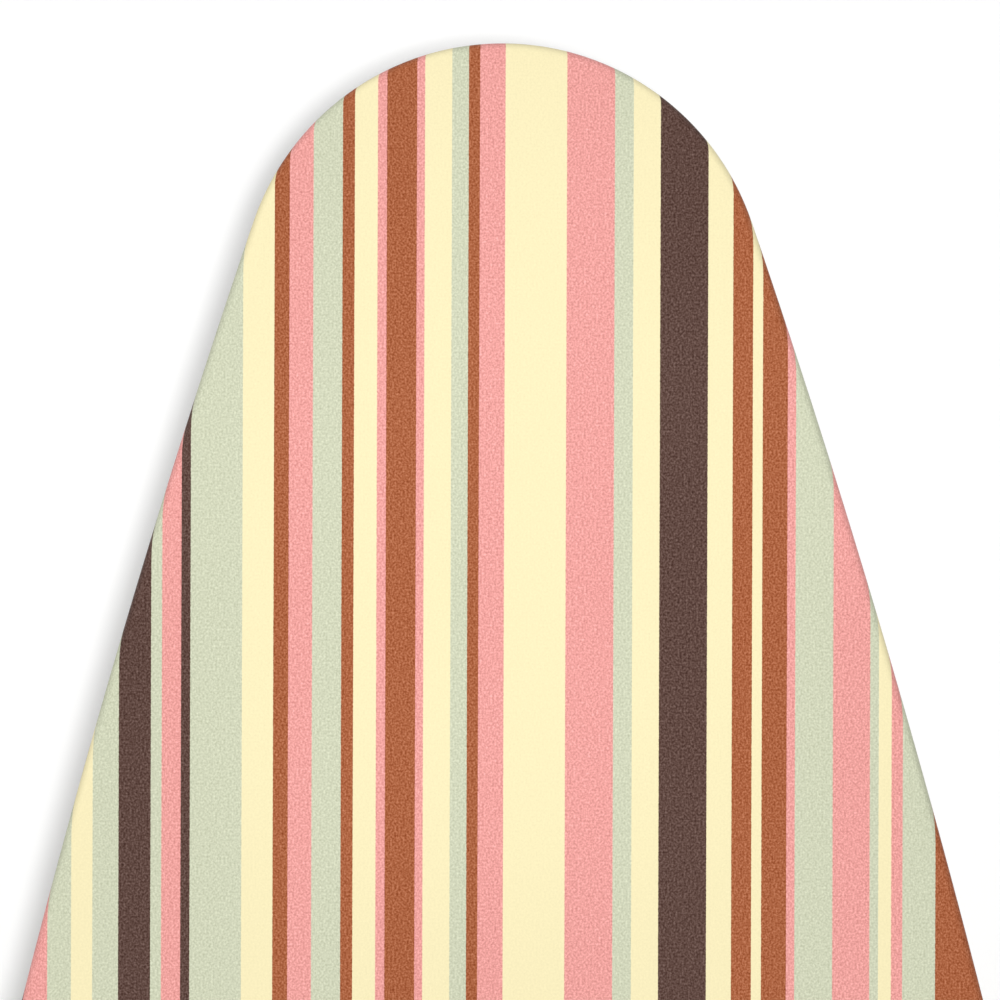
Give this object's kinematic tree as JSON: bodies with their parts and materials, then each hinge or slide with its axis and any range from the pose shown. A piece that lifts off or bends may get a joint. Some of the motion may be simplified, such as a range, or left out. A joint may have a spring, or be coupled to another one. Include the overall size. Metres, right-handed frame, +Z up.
{
  "type": "folding ironing board",
  "caption": "Folding ironing board with a padded, round-nosed, fabric-covered top, a steel deck and scissor legs that fold flat under it, held by a sprung height latch.",
  "frame": {"origin": "on the floor under the middle of the board, with the board standing open at its full height", "axes": "+X towards the nose, +Y to the left, +Z up"},
  "size_m": [1.3718, 0.43, 0.914],
  "materials": {
    "cover_fabric": "matte",
    "felt": "matte",
    "elastic": "matte",
    "deck_paint": "satin",
    "frame_paint": "satin",
    "zinc": "satin",
    "foot_plastic": "matte",
    "nylon": "matte"
  },
  "bodies": {
    "top": {"cover": "cover_fabric", "cover_hem": "cover_fabric", "cover_elastic": "elastic", "pad": "felt", "deck_sheet": "deck_paint", "deck_rim": "deck_paint", "nose_stiffener": "deck_paint", "hinge_stiffener": "deck_paint", "heel_stiffener": "deck_paint", "slide_rail_left": "zinc", "slide_rail_right": "zinc", "hinge_bracket_left": "zinc", "hinge_bracket_right": "zinc", "bracket_rivets": "zinc", "hinge_pins": "zinc", "latch_lugs": "zinc", "latch_axle": "zinc", "latch_spring": "zinc"},
    "outer_leg": {"outer_leg_tube_left": "frame_paint", "outer_leg_tube_right": "frame_paint", "outer_foot_bar": "frame_paint", "outer_foot_cap_left": "foot_plastic", "outer_foot_cap_right": "foot_plastic", "outer_tube_plugs": "foot_plastic", "hinge_bushes": "nylon", "pivot_bolts": "zinc", "pivot_nuts": "zinc", "pivot_spacers": "nylon"},
    "inner_leg": {"inner_leg_tube_left": "frame_paint", "inner_leg_tube_right": "frame_paint", "inner_leg_brace": "frame_paint", "inner_foot_bar": "frame_paint", "inner_foot_cap_left": "foot_plastic", "inner_foot_cap_right": "foot_plastic", "inner_tube_plugs": "foot_plastic", "slide_rod": "zinc", "slide_bushes": "nylon"},
    "height_latch": {"latch_comb": "zinc", "latch_lever": "zinc", "latch_grip": "foot_plastic"}
  },
  "joints": [
    {"name": "leg_fold", "type": "hinge", "parent": "top", "child": "outer_leg", "pos_m": [0.288, 0, 0.866], "axis": [0, 1, 0], "range_deg": [0, 55]},
    {"name": "inner_leg_turn", "type": "hinge", "parent": "outer_leg", "child": "inner_leg", "pos_m": [0.0294, 0, 0.49668], "axis": [0, 1, 0], "range_deg": [-110, 0]},
    {"name": "latch_lever_turn", "type": "hinge", "parent": "top", "child": "height_latch", "pos_m": [-0.19, -0.036, 0.887], "axis": [1, 0, 0], "range_deg": [0, 5], "stiffness_Nm_per_rad": 2, "springref_deg": -17.19}
  ],
  "couplings": [
    {"joint": "inner_leg_turn", "follows": "leg_fold", "ratio": -2}
  ]
}
